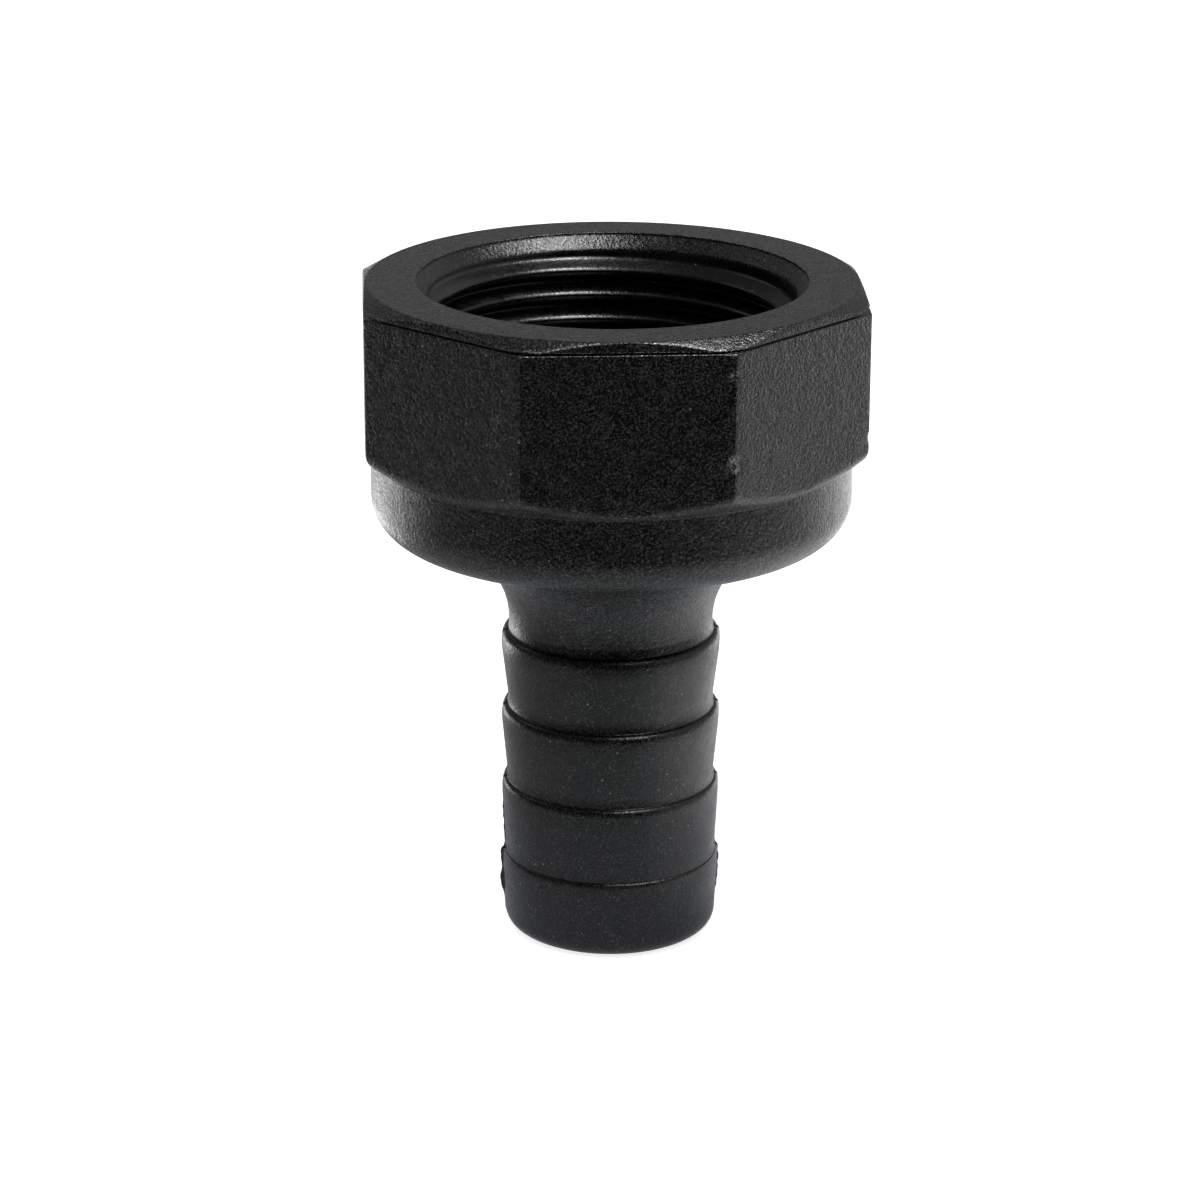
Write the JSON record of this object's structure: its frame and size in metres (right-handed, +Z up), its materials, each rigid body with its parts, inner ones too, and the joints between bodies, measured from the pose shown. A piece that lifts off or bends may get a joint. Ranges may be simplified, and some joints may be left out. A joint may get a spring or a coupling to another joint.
{
  "type": "thru hull adapter",
  "caption": "Moulded adapter: a flat-sided head with a female pipe thread inside, a round collar under it, and a barbed tail that a hose pushes over.",
  "frame": {"origin": "centre of the hose end, on the face that the adapter stands on", "axes": "+Z up the axis from the hose end to the threaded mouth; one flat of the head faces -Y, the front"},
  "size_m": [0.045, 0.045, 0.0624],
  "materials": {
    "moulded_nylon": "black glass-filled nylon, satin, with a fine moulded grain"
  },
  "bodies": {
    "root": {"adapter_body": "moulded_nylon"}
  },
  "joints": []
}
